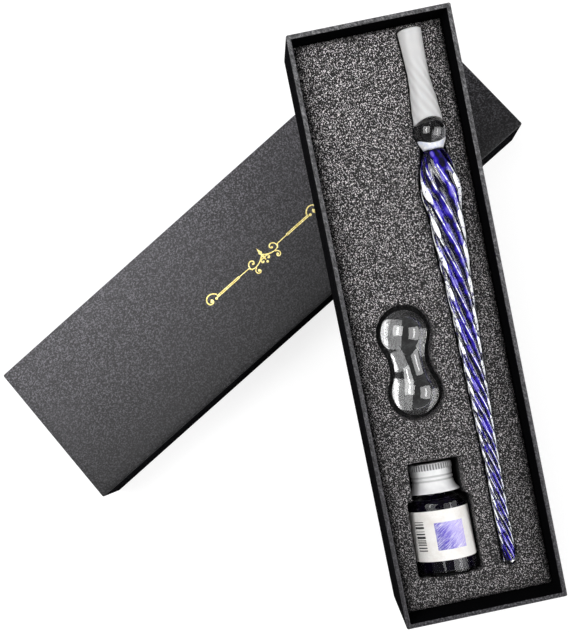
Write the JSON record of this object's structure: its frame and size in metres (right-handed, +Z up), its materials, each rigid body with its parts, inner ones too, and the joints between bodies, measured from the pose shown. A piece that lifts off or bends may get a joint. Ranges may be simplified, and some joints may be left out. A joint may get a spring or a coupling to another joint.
{
  "type": "glass dip pen set",
  "caption": "Glass dip pen with nib sleeve, peanut-shaped glass pen rest and capped ink bottle in a foam-lined lid-and-tray gift box, open, tray leaning on its lid.",
  "frame": {"origin": "on the table, under the middle of the whole layout's bounding box", "axes": "+Z up; X along the lid's long side, +X towards the end that the tray crosses; the tray's low end points to -Y and the lid lies at +Y"},
  "size_m": [0.215, 0.213, 0.0655],
  "materials": {
    "board": "greyboard, sealed under paper",
    "black_paper": "fine-grained matt black paper",
    "lining_paper": "smooth matt black paper",
    "foil": "hot-stamped gold foil",
    "foam": "open-cell foam, black",
    "clear_glass": "clear, smooth",
    "blue_glass": "deep cobalt blue",
    "dark_glass": "clear over black foam",
    "frosted_sleeve": "translucent, frosted",
    "ink": "violet-black liquid",
    "label_paper": "cream label paper",
    "print_violet": "printed violet square",
    "print_black": "printed black",
    "cap_metal": "bright rolled aluminium",
    "liner": "white foamed disc"
  },
  "bodies": {
    "lid": {"lid_board": "board", "lid_wrap": "black_paper", "lid_lining": "lining_paper", "lid_corner_stays": "board", "lid_foil_flourish": "foil"},
    "tray": {"tray_board": "board", "tray_wrap": "black_paper", "tray_lining": "lining_paper", "tray_corner_stays": "board", "foam_top": "foam", "foam_base": "foam"},
    "pen": {"pen_nib": "clear_glass", "pen_ball": "clear_glass", "pen_barrel": "clear_glass", "pen_colour_core": "blue_glass", "pen_tail": "clear_glass"},
    "sleeve": {"nib_sleeve": "frosted_sleeve"},
    "rest": {"pen_rest": "dark_glass"},
    "bottle": {"bottle_glass": "clear_glass", "ink_fill": "ink", "bottle_label": "label_paper", "label_square": "print_violet", "label_bars": "print_black"},
    "liner": {"cap_liner": "liner"},
    "cap": {"bottle_cap": "cap_metal"}
  },
  "joints": [
    {"name": "tray_lift", "type": "slide", "parent": "lid", "child": "tray", "axis": [0, 0, 1], "range_m": [0, 0.08]},
    {"name": "pen_lift", "type": "slide", "parent": "tray", "child": "pen", "axis": [0, -0.161, 0.987], "range_m": [0, 0.15]},
    {"name": "sleeve_pull", "type": "slide", "parent": "pen", "child": "sleeve", "axis": [0.4909, 0.8599, 0.1403], "range_m": [0, 0.03]},
    {"name": "rest_lift", "type": "slide", "parent": "tray", "child": "rest", "axis": [0, -0.161, 0.987], "range_m": [0, 0.06]},
    {"name": "bottle_lift", "type": "slide", "parent": "tray", "child": "bottle", "axis": [0.0933, -0.014, 0.9955], "range_m": [0, 0.1]},
    {"name": "cap_rise", "type": "slide", "parent": "bottle", "child": "liner", "axis": [0.5291, 0.8477, -0.0377], "range_m": [0, 0.00375]},
    {"name": "cap_turn", "type": "hinge", "parent": "liner", "child": "cap", "pos_m": [-0.00527, -0.04178, 0.02203], "axis": [0.5291, 0.8477, -0.0377], "range_deg": [0, 540]}
  ],
  "couplings": [
    {"joint": "sleeve_pull", "follows": "pen_lift", "ratio": 0.2},
    {"joint": "cap_rise", "follows": "bottle_lift", "ratio": 0.0375},
    {"joint": "cap_turn", "follows": "bottle_lift", "rad_per_m": 94.247}
  ]
}
